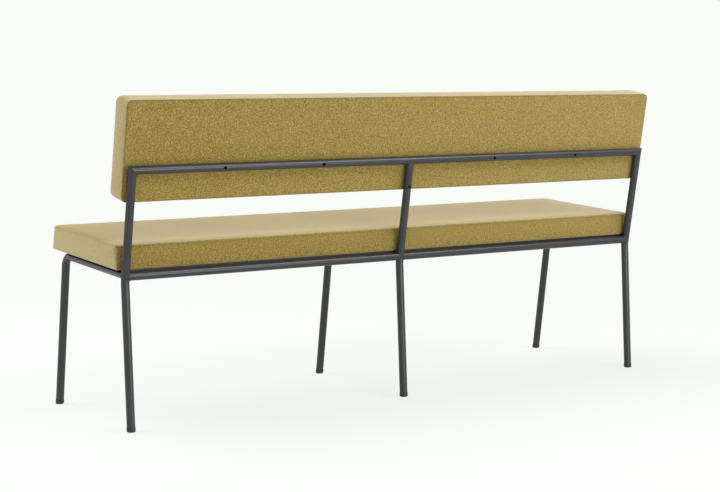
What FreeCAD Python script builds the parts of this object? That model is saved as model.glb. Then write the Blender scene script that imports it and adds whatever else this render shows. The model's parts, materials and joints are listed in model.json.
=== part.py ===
import FreeCAD, Part
import math
import os

# Upholstered bench with a backrest: a welded frame of round tube on six legs, a seat pad and a back pad.
# Millimetres. +X runs along the bench to the sitter's left, -Y is the front and +Z is up.
# The origin lies on the floor, under the middle of the bench's bounding box.

# Frame tube
TUBE_DIAMETER = 22.0
TUBE_WALL = 2.0

# Length of both pads. The end posts stand in from the pads' ends.
BENCH_LENGTH = 1733.0
POST_INSET = 20.0

# Heights of the tube axes: the side rails above the floor, the others above or below the side rails
SIDE_RAIL_HEIGHT = 398.5
REAR_RAIL_DROP = 3.5
POST_BEND_DROP = 16.5
TOP_RAIL_RISE = 267.5

# Angles of the frame in degrees, and the bends of its tubes
REAR_LEG_RAKE = 3.4
FRONT_LEG_RAKE = 8.5
BACK_RECLINE = 10.1
SEAT_PITCH = 3.0
POST_BEND_RADIUS = 66.0
FRONT_BEND_RADIUS = 33.0

# Foot glides, plugged into the leg ends
GLIDE_HEIGHT = 12.0
GLIDE_LIP = 0.6
GLIDE_EDGE = 2.0
GLIDE_RIB = 3.0
GLIDE_PLUG_LENGTH = 20.0
GLIDE_PLUG_CLEARANCE = 0.1

# Seat pad, on the side rails. It reaches forward past the front legs' corners.
SEAT_DEPTH = 399.0
SEAT_OVERHANG = 48.5
SEAT_SIDE_HEIGHT = 68.5
SEAT_CROWN = 2.5
SEAT_BELLY = 1.2
SEAT_TOP_EDGE = 9.0
SEAT_BASE_EDGE = 2.5
SEAT_CORNER = 10.0
SEAT_POST_DISTANCE = 7.5
SEAT_REST_CLEARANCE = 0.3
SEAT_HEM_WIDTH = 15.0
DUST_COVER_THICKNESS = 0.8
DUST_COVER_MARGIN = 14.0

# Strips under the seat's rear edge, one in each bay. They close the gap above the rear rail.
STRIP_WIDTH = 9.0
STRIP_HEIGHT = 10.0
STRIP_MARGIN = 4.0
STRIP_END_CLEARANCE = 1.0

# Back pad, in front of the back frame. The drop and the rise are measured along the posts from the top rail.
BACK_DROP = 85.0
BACK_RISE = 175.0
BACK_SIDE_HEIGHT = 66.0
BACK_CROWN = 3.0
BACK_BELLY = 1.2
BACK_FRONT_EDGE = 16.0
BACK_REAR_EDGE = 3.0
BACK_CORNER = 13.0
BACK_REST_CLEARANCE = 0.3
PANEL_SEAM_GAP = 0.4
SEAM_ALLOWANCE = 1.0

# Upholstery
CLOTH_THICKNESS = 2.0
BOARD_THICKNESS = 12.0
SEAT_BOARD_MARGIN = 9.0
BACK_BOARD_MARGIN = 7.0
BOARD_CORNER = 8.0
EDGE_STEP = 5.0
CROWN_STEPS = 2
CROWN_REACH = 0.7

# Hexagon-head screws, from inside the tubes into the boards. Seat screws are placed from the post and
# from the front corner, back screws by shares of the post spacing and from the back pad's lower edge.
SEAT_SCREW_DIAMETER = 6.0
SEAT_SCREW_HEAD = 10.0
SEAT_SCREW_HEAD_HEIGHT = 3.5
SEAT_SCREW_ACCESS = 11.0
SEAT_SCREW_REAR = 70.0
SEAT_SCREW_FRONT = 48.0
BACK_SCREW_DIAMETER = 5.0
BACK_SCREW_HEAD = 8.0
BACK_SCREW_HEAD_HEIGHT = 3.0
BACK_SCREW_ACCESS = 9.0
BACK_SCREW_SHARES = (0.341, 0.695)
BACK_SCREW_EDGE = 12.0
SCREW_HOLE_CLEARANCE = 0.5
HEAD_CLEARANCE = 0.05
THREAD_CLEARANCE = 0.05

# Sizes that follow from the ones above
TUBE_RADIUS = TUBE_DIAMETER / 2
BORE_RADIUS = TUBE_RADIUS - TUBE_WALL
COLLAR_RADIUS = TUBE_RADIUS + GLIDE_LIP
POST_SPACING = BENCH_LENGTH / 2 - POST_INSET
POST_BEND_HEIGHT = SIDE_RAIL_HEIGHT - POST_BEND_DROP
REAR_RAIL_HEIGHT = SIDE_RAIL_HEIGHT - REAR_RAIL_DROP
TOP_RAIL_HEIGHT = SIDE_RAIL_HEIGHT + TOP_RAIL_RISE
SIDE_RAIL_LENGTH = SEAT_POST_DISTANCE + SEAT_DEPTH - SEAT_OVERHANG
BACK_HEIGHT = BACK_DROP + BACK_RISE
SEAT_BASE = TUBE_RADIUS + SEAT_REST_CLEARANCE
BACK_BASE = TUBE_RADIUS + BACK_REST_CLEARANCE
SEAT_COVER_BASE = SEAT_BASE + DUST_COVER_THICKNESS
SEAT_BOARD_BASE = SEAT_COVER_BASE + CLOTH_THICKNESS
BACK_BOARD_BASE = BACK_BASE + CLOTH_THICKNESS

RAKE = math.radians(REAR_LEG_RAKE)
RECLINE = math.radians(BACK_RECLINE)
PITCH = math.radians(SEAT_PITCH)
FRONT_RAKE = math.radians(FRONT_LEG_RAKE)

Vector = FreeCAD.Vector
X_AXIS = Vector(1, 0, 0)
UP_POST = Vector(0, math.sin(RECLINE), math.cos(RECLINE))
BACK_FORWARD = Vector(0, -math.cos(RECLINE), math.sin(RECLINE))
DOWN_REAR_LEG = Vector(0, math.sin(RAKE), -math.cos(RAKE))
DOWN_FRONT_LEG = Vector(0, -math.sin(FRONT_RAKE), -math.cos(FRONT_RAKE))
ALONG_SIDE_RAIL = Vector(0, -math.cos(PITCH), math.sin(PITCH))
SEAT_UP = Vector(0, math.sin(PITCH), math.cos(PITCH))

# Depths forward of the posts' bend, and those of the frontmost and rearmost points, which centre the bench
FRONT_CORNER_DEPTH = SIDE_RAIL_LENGTH * math.cos(PITCH)
FRONT_CORNER_HEIGHT = SIDE_RAIL_HEIGHT + SIDE_RAIL_LENGTH * math.sin(PITCH)
FRONT_FOOT_DEPTH = FRONT_CORNER_DEPTH + FRONT_CORNER_HEIGHT * math.tan(FRONT_RAKE)
GLIDE_EDGE_LOSS = GLIDE_EDGE / (1 + 1 / math.tan(FRONT_RAKE))
FRONTMOST = FRONT_FOOT_DEPTH + COLLAR_RADIUS / math.cos(FRONT_RAKE) - GLIDE_EDGE_LOSS
TOP_RAIL_SETBACK = (TOP_RAIL_HEIGHT - POST_BEND_HEIGHT) * math.tan(RECLINE)
REAR_EDGE_RISE = BACK_RISE - BACK_BELLY - BACK_REAR_EDGE
REAR_EDGE_SETBACK = REAR_EDGE_RISE * math.sin(RECLINE) - (BACK_BASE + BACK_REAR_EDGE) * math.cos(RECLINE)
REARMOST = TOP_RAIL_SETBACK + REAR_EDGE_SETBACK + BACK_REAR_EDGE
BEND_Y = (FRONTMOST - REARMOST) / 2

# Points on the tube axes in the plane X = 0
POST_BEND = Vector(0, BEND_Y, POST_BEND_HEIGHT)
TOP_RAIL = Vector(0, BEND_Y + TOP_RAIL_SETBACK, TOP_RAIL_HEIGHT)
REAR_RAIL = POST_BEND + UP_POST * ((REAR_RAIL_HEIGHT - POST_BEND_HEIGHT) / UP_POST.z)
SIDE_RAIL = Vector(0, BEND_Y, SIDE_RAIL_HEIGHT)
FRONT_CORNER = Vector(0, BEND_Y - FRONT_CORNER_DEPTH, FRONT_CORNER_HEIGHT)
REAR_FOOT = POST_BEND + DOWN_REAR_LEG * (POST_BEND.z / -DOWN_REAR_LEG.z)
FRONT_FOOT = FRONT_CORNER + DOWN_FRONT_LEG * (FRONT_CORNER.z / -DOWN_FRONT_LEG.z)

# The three leg planes, from the sitter's left to the right
SIDES = {"left": POST_SPACING, "centre": 0.0, "right": -POST_SPACING}

# Long enough to pass through any piece
THROUGH = 2 * POST_SPACING


def moved(shape, x):
    """Copy of a shape, moved along the bench."""
    copy = shape.copy()
    copy.translate(Vector(x, 0, 0))
    return copy


def bent_path(start, corner, end, radius):
    """Wire from start to end that rounds the corner with an arc of the given radius."""
    back = (start - corner).normalize()
    ahead = (end - corner).normalize()
    half_angle = back.getAngle(ahead) / 2
    tangent = radius / math.tan(half_angle)
    bisector = (back + ahead).normalize()
    arc_start = corner + back * tangent
    arc_end = corner + ahead * tangent
    arc_middle = corner + bisector * (radius / math.sin(half_angle) - radius)
    arc = Part.Arc(arc_start, arc_middle, arc_end).toShape()
    return Part.Wire([Part.makeLine(start, arc_start), arc, Part.makeLine(arc_end, end)])


def rod(path, radius):
    """Solid round bar along a path of lines and arcs."""
    bars = []
    for edge in path.Edges:
        start = edge.valueAt(edge.FirstParameter)
        direction = edge.tangentAt(edge.FirstParameter)
        section = Part.Face(Part.Wire([Part.makeCircle(radius, start, direction)]))
        if isinstance(edge.Curve, Part.Circle):
            turn = math.degrees(edge.Length / edge.Curve.Radius)
            bars.append(section.revolve(edge.Curve.Center, edge.Curve.Axis, turn))
        else:
            bars.append(section.extrude(direction * edge.Length))
    return bars[0].fuse(bars[1:])


def straight(start, end, radius):
    """Solid round bar between two points."""
    return Part.makeCylinder(radius, (end - start).Length, start, end - start)


def half_space(point, normal):
    """Large block on the side of a plane that the normal points to."""
    block = Part.makeBox(THROUGH, THROUGH, THROUGH, Vector(-THROUGH / 2, -THROUGH / 2, 0))
    block.Placement = FreeCAD.Placement(point, FreeCAD.Rotation(Vector(0, 0, 1), normal))
    return block


def rear_post_path():
    """Axis of a rear post in the plane X = 0, from the glide's shoulder to the top rail's axis."""
    return bent_path(REAR_FOOT - DOWN_REAR_LEG * GLIDE_HEIGHT, POST_BEND, TOP_RAIL, POST_BEND_RADIUS)


def front_leg_path():
    """Axis of a front leg with its side rail in the plane X = 0, from the glide's shoulder to the post."""
    return bent_path(FRONT_FOOT - DOWN_FRONT_LEG * GLIDE_HEIGHT, FRONT_CORNER, SIDE_RAIL, FRONT_BEND_RADIUS)


def seat_point(x, inset, height):
    """Point in the seat's plane: inset forward of the post bend, height above the side rails' axes."""
    return SIDE_RAIL + X_AXIS * x + ALONG_SIDE_RAIL * inset + SEAT_UP * height


def back_point(x, rise, forward):
    """Point in the back's plane: rise above the top rail's axis, forward of the tubes' axes."""
    return TOP_RAIL + X_AXIS * x + UP_POST * rise + BACK_FORWARD * forward


def seat_screw_points():
    """Places of the seat screws on the side rails' axes."""
    insets = (SEAT_SCREW_REAR, SIDE_RAIL_LENGTH - SEAT_SCREW_FRONT)
    return [seat_point(x, inset, 0) for x in SIDES.values() for inset in insets]


def back_screw_points():
    """Places of the back screws on the axes of the top rail and the centre post."""
    places = [sign * share * POST_SPACING for share in BACK_SCREW_SHARES for sign in (1, -1)]
    return [back_point(x, 0, 0) for x in places] + [back_point(0, BACK_SCREW_EDGE - BACK_DROP, 0)]


def stepped_holes(points, direction, access, diameter):
    """Tools for screw holes through a tube: a wide hole for the head and a narrow one ahead of it."""
    tools = []
    for point in points:
        tools.append(Part.makeCylinder(access / 2, TUBE_DIAMETER, point, direction * -1))
        narrow = diameter / 2 + SCREW_HOLE_CLEARANCE
        tools.append(Part.makeCylinder(narrow, TUBE_DIAMETER, point, direction))
    return tools


def end_post(side):
    """Rear leg and upright at one end, mitred at the top for the top rail."""
    sign = math.copysign(1, SIDES[side])
    tall = rear_post_path()
    top = Part.Wire(tall.Edges + [Part.makeLine(TOP_RAIL, TOP_RAIL + UP_POST * TUBE_DIAMETER)])
    tube = rod(top, TUBE_RADIUS).cut(rod(top, BORE_RADIUS))
    mitre = half_space(TOP_RAIL, UP_POST - X_AXIS * sign)
    return moved(tube.cut(mitre), SIDES[side])


def centre_post():
    """Middle rear leg and upright, coped to fit under the top rail, with one screw hole."""
    path = rear_post_path()
    tube = rod(path, TUBE_RADIUS).cut(rod(path, BORE_RADIUS))
    rail = straight(TOP_RAIL - X_AXIS * TUBE_DIAMETER, TOP_RAIL + X_AXIS * TUBE_DIAMETER, TUBE_RADIUS)
    hole = stepped_holes(back_screw_points()[-1:], BACK_FORWARD, BACK_SCREW_ACCESS, BACK_SCREW_DIAMETER)
    return tube.cut([rail] + hole)


def top_rail():
    """Rail behind the back pad, mitred at both ends, with the back pad's screw holes."""
    reach = X_AXIS * (POST_SPACING + TUBE_DIAMETER)
    tube = straight(TOP_RAIL - reach, TOP_RAIL + reach, TUBE_RADIUS)
    tube = tube.cut(straight(TOP_RAIL - reach, TOP_RAIL + reach, BORE_RADIUS))
    mitres = [half_space(TOP_RAIL + X_AXIS * x, X_AXIS * math.copysign(1, x) - UP_POST)
              for x in (POST_SPACING, -POST_SPACING)]
    holes = stepped_holes(back_screw_points()[:-1], BACK_FORWARD, BACK_SCREW_ACCESS, BACK_SCREW_DIAMETER)
    return tube.cut(mitres + holes)


def rear_rail(side):
    """Half of the rear seat rail, coped between the end post and the centre post."""
    start = REAR_RAIL
    end = REAR_RAIL + X_AXIS * SIDES[side]
    tube = straight(start, end, TUBE_RADIUS).cut(straight(start, end, BORE_RADIUS))
    post = rod(rear_post_path(), TUBE_RADIUS)
    return tube.cut([post, moved(post, SIDES[side])])


def front_leg(side):
    """Front leg and side rail, one bent tube, coped to the post, with the seat's screw holes."""
    path = front_leg_path()
    tube = rod(path, TUBE_RADIUS).cut(rod(path, BORE_RADIUS))
    coped = moved(tube.cut(rod(rear_post_path(), TUBE_RADIUS)), SIDES[side])
    return coped.cut(stepped_holes(seat_screw_points(), SEAT_UP, SEAT_SCREW_ACCESS, SEAT_SCREW_DIAMETER))


def glide(foot, down, x):
    """Plastic foot: a collar, flat on the floor and bevelled, and crossed ribs that plug the tube."""
    collar = Part.makeCylinder(COLLAR_RADIUS, TUBE_DIAMETER + GLIDE_HEIGHT, Vector(0, 0, -TUBE_DIAMETER))
    half_rib = GLIDE_RIB / 2
    reach = math.sqrt((BORE_RADIUS - GLIDE_PLUG_CLEARANCE) ** 2 - half_rib ** 2)
    ribs = []
    for x_reach, y_reach in ((reach, half_rib), (half_rib, reach)):
        low_corner = Vector(-x_reach, -y_reach, GLIDE_HEIGHT)
        ribs.append(Part.makeBox(2 * x_reach, 2 * y_reach, GLIDE_PLUG_LENGTH, low_corner))
    body = collar.fuse(ribs)
    body.Placement = FreeCAD.Placement(foot, FreeCAD.Rotation(Vector(0, 0, 1), down * -1))
    floor_radius = COLLAR_RADIUS / -down.z - GLIDE_EDGE
    height = GLIDE_HEIGHT + GLIDE_PLUG_LENGTH
    bevel = Part.makeCone(floor_radius, floor_radius + height, height, foot)
    return moved(body.common(bevel), x)


def rounded_rectangle(length, width, corner, height):
    """Closed wire of four lines and four quarter arcs, centred on the Z axis."""
    x = length / 2
    y = width / 2
    inner_x = x - corner
    inner_y = y - corner
    bulge = corner * math.sqrt(0.5)
    edges = []
    for turn in range(4):
        sign_x = 1 if turn in (0, 3) else -1
        sign_y = 1 if turn in (0, 1) else -1
        side_point = Vector(sign_x * x, sign_y * inner_y, height)
        end_point = Vector(sign_x * inner_x, sign_y * y, height)
        middle = Vector(sign_x * (inner_x + bulge), sign_y * (inner_y + bulge), height)
        points = (side_point, end_point) if turn in (0, 2) else (end_point, side_point)
        edges.append(Part.Arc(points[0], middle, points[1]).toShape())
    lines = [Part.makeLine(edges[turn].Vertexes[-1].Point, edges[(turn + 1) % 4].Vertexes[0].Point)
             for turn in range(4)]
    return Part.Wire([edge for pair in zip(edges, lines) for edge in pair])


def rounded_edge(radius, start, end):
    """Steps (depth below the face, inset from the side) round a quarter-round edge.

    The start and the end are in degrees from the face.
    """
    count = math.ceil(radius / EDGE_STEP)
    angles = [math.radians(start + (end - start) * step / count) for step in range(count + 1)]
    return [(radius * (1 - math.cos(angle)), radius * (1 - math.sin(angle))) for angle in angles]


def pad_wires(length, width, height, base_edge, top_edge, corner, crown, belly, base):
    """Rounded rectangles that a cushion is lofted through, from its base upwards.

    The sides swell by the belly at half height and are drawn in towards both edges. The rounded top edge
    runs into the crown, which rises towards the middle of the top.
    """
    sections = [(rise, belly + inset) for rise, inset in rounded_edge(base_edge, 0, 90)]
    sections.append(((base_edge + height - top_edge) / 2, 0))
    sections += [(height - drop, belly + inset) for drop, inset in rounded_edge(top_edge, 90, 0)]
    crown_reach = (width / 2 - belly - top_edge) * CROWN_REACH
    for step in range(1, CROWN_STEPS + 1):
        share = step / CROWN_STEPS
        sections.append((height + crown * share * (2 - share), belly + top_edge + crown_reach * share))
    return [rounded_rectangle(length - 2 * inset, width - 2 * inset, max(corner - inset / 2, corner / 3),
                              base + z) for z, inset in sections]


def pad_form(wires):
    """Solid cushion lofted through its wires."""
    return Part.makeLoft(wires, True, True)


def plate(length, width, corner, thickness, base):
    """Flat sheet with round corners, from a base height up."""
    outline = Part.Face(rounded_rectangle(length, width, corner, base))
    return outline.extrude(Vector(0, 0, thickness))


def in_seat(shape):
    """Places a shape drawn about the seat's middle, with Z = 0 on the side rails' axes."""
    middle = seat_point(0, SEAT_POST_DISTANCE + SEAT_DEPTH / 2, 0)
    turn = FreeCAD.Rotation(X_AXIS, ALONG_SIDE_RAIL * -1, SEAT_UP, "XYZ")
    placed = shape.copy()
    placed.Placement = FreeCAD.Placement(middle, turn).multiply(placed.Placement)
    return placed


def in_back(shape):
    """Places a shape drawn about the back's middle, with Z = 0 on the back tubes' axes."""
    middle = back_point(0, (BACK_RISE - BACK_DROP) / 2, 0)
    turn = FreeCAD.Rotation(X_AXIS, UP_POST, BACK_FORWARD, "XYZ")
    placed = shape.copy()
    placed.Placement = FreeCAD.Placement(middle, turn).multiply(placed.Placement)
    return placed


def screw(point, direction, seat, diameter, head, head_height, length):
    """Hexagon-head screw: the head lies inside the tube, against its wall, and the shank points ahead."""
    shank = Part.makeCylinder(diameter / 2, length)
    angles = [turn * math.pi / 3 for turn in range(7)]
    corners = [Vector(math.cos(angle), math.sin(angle)) * (head / 2) for angle in angles]
    cap = Part.Face(Part.makePolygon(corners)).extrude(Vector(0, 0, -head_height))
    whole = shank.fuse(cap)
    turn = FreeCAD.Rotation(Vector(0, 0, 1), direction)
    whole.Placement = FreeCAD.Placement(point + direction * seat, turn)
    return whole


def head_seat(head):
    """Distance from a tube's axis at which a screw head meets the curved inside of the wall."""
    return math.sqrt(BORE_RADIUS ** 2 - (head / 2) ** 2) - HEAD_CLEARANCE


def holes(points, direction, radius):
    """Tools for round holes at the screws, from the tubes' axes through everything above them."""
    return [Part.makeCylinder(radius, THROUGH, point, direction) for point in points]


def pad_screws(points, direction, board_base, diameter, head, head_height):
    """Screws of one pad, a group of separate solids, each as long as reaches through the board."""
    seat = head_seat(head)
    length = board_base + BOARD_THICKNESS - seat
    return Part.makeCompound([screw(point, direction, seat, diameter, head, head_height, length)
                              for point in points])


def seat_strip(side):
    """Strip under the hem at the seat's rear edge, between two side rails."""
    length = POST_SPACING - TUBE_DIAMETER - 2 * STRIP_END_CLEARANCE
    rear = SEAT_DEPTH / 2 - STRIP_MARGIN
    corner = Vector(SIDES[side] / 2 - length / 2, rear - STRIP_WIDTH, SEAT_COVER_BASE - STRIP_HEIGHT)
    return in_seat(Part.makeBox(length, STRIP_WIDTH, STRIP_HEIGHT, corner))


def seat_nodes():
    """Board, foam, cover, dust cover, strips and screws of the seat pad."""
    skin = CLOTH_THICKNESS
    outer = pad_wires(BENCH_LENGTH, SEAT_DEPTH, SEAT_SIDE_HEIGHT, SEAT_BASE_EDGE, SEAT_TOP_EDGE,
                      SEAT_CORNER, SEAT_CROWN, SEAT_BELLY, SEAT_COVER_BASE)
    inner = pad_wires(BENCH_LENGTH - 2 * skin, SEAT_DEPTH - 2 * skin, SEAT_SIDE_HEIGHT - 2 * skin,
                      SEAT_BASE_EDGE - skin, SEAT_TOP_EDGE - skin, SEAT_CORNER - skin, SEAT_CROWN,
                      SEAT_BELLY, SEAT_BOARD_BASE)
    hem_opening = plate(BENCH_LENGTH - 2 * SEAT_HEM_WIDTH, SEAT_DEPTH - 2 * SEAT_HEM_WIDTH, BOARD_CORNER,
                        skin, SEAT_COVER_BASE)
    filling = pad_form(inner)
    cover = pad_form(outer).cut([filling, hem_opening])
    board = plate(BENCH_LENGTH - 2 * SEAT_BOARD_MARGIN, SEAT_DEPTH - 2 * SEAT_BOARD_MARGIN, BOARD_CORNER,
                  BOARD_THICKNESS, SEAT_BOARD_BASE)
    dust = plate(BENCH_LENGTH - 2 * DUST_COVER_MARGIN, SEAT_DEPTH - 2 * DUST_COVER_MARGIN, BOARD_CORNER,
                 DUST_COVER_THICKNESS, SEAT_BASE)
    points = seat_screw_points()
    screw_hole = SEAT_SCREW_DIAMETER / 2 + SCREW_HOLE_CLEARANCE
    board_hole = SEAT_SCREW_DIAMETER / 2 + THREAD_CLEARANCE
    screws = pad_screws(points, SEAT_UP, SEAT_BOARD_BASE, SEAT_SCREW_DIAMETER, SEAT_SCREW_HEAD,
                        SEAT_SCREW_HEAD_HEIGHT)
    return {
        "seat_board": in_seat(board).cut(holes(points, SEAT_UP, board_hole)),
        "seat_foam": in_seat(filling.cut(board)),
        "seat_cover": in_seat(cover),
        "seat_dust_cover": in_seat(dust).cut(holes(points, SEAT_UP, screw_hole)),
        "left_seat_strip": seat_strip("left"),
        "right_seat_strip": seat_strip("right"),
        "seat_screws": screws}


def back_nodes():
    """Board, foam, cover, rear panel and screws of the back pad."""
    skin = CLOTH_THICKNESS
    outer = pad_wires(BENCH_LENGTH, BACK_HEIGHT, BACK_SIDE_HEIGHT, BACK_REAR_EDGE, BACK_FRONT_EDGE,
                      BACK_CORNER, BACK_CROWN, BACK_BELLY, BACK_BASE)
    inner = pad_wires(BENCH_LENGTH - 2 * skin, BACK_HEIGHT - 2 * skin, BACK_SIDE_HEIGHT - 2 * skin,
                      BACK_REAR_EDGE - skin, BACK_FRONT_EDGE - skin, BACK_CORNER - skin, BACK_CROWN,
                      BACK_BELLY, BACK_BOARD_BASE)
    margin = BACK_REAR_EDGE + BACK_BELLY + SEAM_ALLOWANCE
    opening = plate(BENCH_LENGTH - 2 * margin, BACK_HEIGHT - 2 * margin, BACK_CORNER, skin, BACK_BASE)
    filling = pad_form(inner)
    cover = pad_form(outer).cut([filling, opening])
    inset = margin + PANEL_SEAM_GAP
    panel = plate(BENCH_LENGTH - 2 * inset, BACK_HEIGHT - 2 * inset, BACK_CORNER, skin, BACK_BASE)
    board = plate(BENCH_LENGTH - 2 * BACK_BOARD_MARGIN, BACK_HEIGHT - 2 * BACK_BOARD_MARGIN, BOARD_CORNER,
                  BOARD_THICKNESS, BACK_BOARD_BASE)
    points = back_screw_points()
    screw_hole = BACK_SCREW_DIAMETER / 2 + SCREW_HOLE_CLEARANCE
    board_hole = BACK_SCREW_DIAMETER / 2 + THREAD_CLEARANCE
    screws = pad_screws(points, BACK_FORWARD, BACK_BOARD_BASE, BACK_SCREW_DIAMETER, BACK_SCREW_HEAD,
                        BACK_SCREW_HEAD_HEIGHT)
    return {
        "back_board": in_back(board).cut(holes(points, BACK_FORWARD, board_hole)),
        "back_foam": in_back(filling.cut(board)),
        "back_cover": in_back(cover),
        "back_rear_panel": in_back(panel).cut(holes(points, BACK_FORWARD, screw_hole)),
        "back_screws": screws}


def frame_nodes():
    """Tubes of the welded frame and the six glides."""
    nodes = {"top_rail": top_rail(), "centre_rear_post": centre_post()}
    for side in ("left", "right"):
        nodes[side + "_rear_post"] = end_post(side)
        nodes[side + "_rear_rail"] = rear_rail(side)
    for side, x in SIDES.items():
        nodes[side + "_front_leg"] = front_leg(side)
        nodes[side + "_front_glide"] = glide(FRONT_FOOT, DOWN_FRONT_LEG, x)
        nodes[side + "_rear_glide"] = glide(REAR_FOOT, DOWN_REAR_LEG, x)
    return nodes


def main():
    """Builds every piece and writes one file per piece."""
    os.makedirs("parts", exist_ok=True)
    nodes = frame_nodes()
    nodes.update(seat_nodes())
    nodes.update(back_nodes())
    for name, shape in nodes.items():
        solids = shape.Solids
        valid = all(solid.isValid() for solid in solids)
        print(name, "solids", len(solids), "valid", valid, "volume", round(shape.Volume))
        shape.exportStep(os.path.join("parts", name + ".step"))


main()
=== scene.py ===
"""Looks of an upholstered bench with a backrest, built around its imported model.

The bench is in metres: +X runs along it to the sitter's left, -Y is its front and +Z is up.
"""

from __future__ import annotations

import json
import logging
import math
from dataclasses import dataclass, field
from enum import Enum
from typing import Any, Optional, Union

import bpy
import numpy as np
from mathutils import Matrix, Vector

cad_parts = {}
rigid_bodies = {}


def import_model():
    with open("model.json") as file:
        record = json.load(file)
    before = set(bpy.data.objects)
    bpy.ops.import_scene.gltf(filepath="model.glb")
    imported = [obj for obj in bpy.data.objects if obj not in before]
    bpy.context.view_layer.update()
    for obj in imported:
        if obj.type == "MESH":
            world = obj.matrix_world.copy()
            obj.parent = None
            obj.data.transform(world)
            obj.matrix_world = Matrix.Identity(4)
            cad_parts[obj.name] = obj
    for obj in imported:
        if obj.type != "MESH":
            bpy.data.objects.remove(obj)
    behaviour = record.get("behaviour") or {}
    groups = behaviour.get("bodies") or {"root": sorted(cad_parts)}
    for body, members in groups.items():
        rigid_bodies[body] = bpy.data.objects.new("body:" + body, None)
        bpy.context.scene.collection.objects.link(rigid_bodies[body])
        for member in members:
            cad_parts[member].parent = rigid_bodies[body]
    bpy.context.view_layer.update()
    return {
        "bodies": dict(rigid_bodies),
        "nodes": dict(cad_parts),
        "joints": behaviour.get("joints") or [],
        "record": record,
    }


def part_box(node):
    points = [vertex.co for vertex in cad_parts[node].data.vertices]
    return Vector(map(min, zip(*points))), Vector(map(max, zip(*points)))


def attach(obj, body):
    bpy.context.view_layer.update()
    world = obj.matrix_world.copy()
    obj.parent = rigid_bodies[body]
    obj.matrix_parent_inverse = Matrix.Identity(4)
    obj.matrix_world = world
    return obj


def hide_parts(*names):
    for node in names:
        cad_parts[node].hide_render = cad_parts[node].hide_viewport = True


LOG = logging.getLogger("bench")
BODY = "root"
SEAM_SHADE = "seam_shade"

# Frame of the bench: the seat rises to the front, the back leans to the rear, the posts stand at even steps
SEAT_PITCH = math.radians(3.0)
BACK_RECLINE = math.radians(10.1)
POST_SPACING = 0.8465

# Grid lines of a pad: their distances from its sides, and the angles at which they meet its rounded edges
FIRST_LINE = 0.0006
SEAM_GAP = 0.0008
RIM_LINES = (0.0042, 0.0056, 0.0075, 0.010, 0.013, 0.0165, 0.021, 0.028, 0.037)
EDGE_ANGLES = (0.0, 12.0, 23.0, 33.0, 40.0, 45.0)
SIDE_LINES = 6
SEAM_STEP = 0.0016

# Least length that divides another, and how close a point lies to the line that it belongs to
TINY = 1e-9
ON_LINE = 1e-6

Array = np.ndarray
Span = tuple[float, float]
Triple = tuple[float, float, float]
Colour = Triple
Operand = Union["Sock", float]


class Slot(Enum):
    """Material slots of the record."""

    FRAME = "frame_paint"
    GLIDE = "glide_plastic"
    PLYWOOD = "plywood"
    CLOTH = "upholstery"
    DUST = "dust_cloth"
    ZINC = "zinc_steel"


class Sock:
    """A shader socket that takes part in Python arithmetic. Each operation adds a Math node."""

    def __init__(self, shader: Shader, socket: bpy.types.NodeSocket) -> None:
        """Keeps the socket and the shader that it belongs to."""
        self.shader = shader
        self.socket = socket

    def _math(self, operation: str, first: Operand, second: Operand = 0.0) -> Sock:
        """Adds a Math node for two operands."""
        return self.shader.node("ShaderNodeMath", {"operation": operation}, {0: first, 1: second})

    def __add__(self, other: Operand) -> Sock:
        """Sum."""
        return self._math("ADD", self, other)

    def __sub__(self, other: Operand) -> Sock:
        """Difference."""
        return self._math("SUBTRACT", self, other)

    def __rsub__(self, other: Operand) -> Sock:
        """Difference from a number."""
        return self._math("SUBTRACT", other, self)

    def __mul__(self, other: Operand) -> Sock:
        """Product."""
        return self._math("MULTIPLY", self, other)

    __radd__ = __add__
    __rmul__ = __mul__

    def above(self, low: float, high: float) -> Sock:
        """Share of the way from low to high, clamped to 0 and 1."""
        return self.shader.node("ShaderNodeMapRange", {"clamp": True},
                                {"Value": self, "From Min": low, "From Max": high})


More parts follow.
